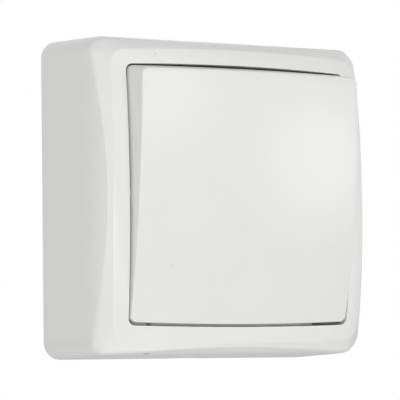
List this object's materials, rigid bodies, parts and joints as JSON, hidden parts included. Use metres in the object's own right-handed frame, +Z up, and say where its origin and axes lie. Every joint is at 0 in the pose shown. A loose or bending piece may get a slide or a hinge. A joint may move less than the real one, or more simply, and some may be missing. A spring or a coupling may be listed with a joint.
{
  "type": "surface mounted light switch",
  "caption": "Square surface mounted wall switch with a domed front and one large rocker that tilts to work a sprung see-saw contact inside.",
  "frame": {"origin": "centre of the base plate's back face, in the wall's plane", "axes": "+X to the right seen from the front, +Y into the wall, +Z up; the front looks towards -Y"},
  "size_m": [0.076, 0.0364, 0.076],
  "materials": {
    "white_moulding": "satin white, slightly warm",
    "rocker_moulding": "satin white, slightly warm",
    "base_moulding": "matt white",
    "mechanism_moulding": "matt light grey",
    "cradle_moulding": "matt white",
    "plunger_moulding": "smooth ivory",
    "spring_steel": "bright drawn wire",
    "terminal_brass": "stamped strip",
    "contact_silver": "plain silver alloy",
    "zinc_plated_steel": "bright zinc plate"
  },
  "bodies": {
    "base": {"housing": "white_moulding", "base_plate": "base_moulding", "mechanism_base": "mechanism_moulding", "mechanism_cover": "mechanism_moulding", "common_terminal": "terminal_brass", "upper_terminal": "terminal_brass", "lower_terminal": "terminal_brass", "fixed_tip_upper": "contact_silver", "fixed_tip_lower": "contact_silver", "clamp_plate_common": "zinc_plated_steel", "clamp_plate_upper": "zinc_plated_steel", "clamp_plate_lower": "zinc_plated_steel", "terminal_screw_common": "zinc_plated_steel", "terminal_screw_upper": "zinc_plated_steel", "terminal_screw_lower": "zinc_plated_steel", "mechanism_screw_left": "zinc_plated_steel", "mechanism_screw_right": "zinc_plated_steel"},
    "rocker": {"rocker_cap": "rocker_moulding", "rocker_cradle": "cradle_moulding", "plunger_spring": "spring_steel"},
    "plunger": {"plunger": "plunger_moulding"},
    "contact": {"moving_contact": "terminal_brass", "moving_tip_upper": "contact_silver", "moving_tip_lower": "contact_silver"}
  },
  "joints": [
    {"name": "rocker_tilt", "type": "hinge", "parent": "base", "child": "rocker", "pos_m": [0, -0.0285, 0], "axis": [-1, 0, 0], "range_deg": [0, 13]},
    {"name": "contact_tilt", "type": "hinge", "parent": "base", "child": "contact", "pos_m": [0, -0.01201, 0], "axis": [1, 0, 0], "range_deg": [0, 16]},
    {"name": "plunger_slide", "type": "slide", "parent": "rocker", "child": "plunger", "axis": [0, -0.9936, -0.1132], "range_m": [0, 0.0008], "stiffness_N_per_m": 300, "deforming": ["plunger_spring"]}
  ],
  "couplings": [
    {"joint": "contact_tilt", "follows": "rocker_tilt", "ratio": 1.2308}
  ]
}
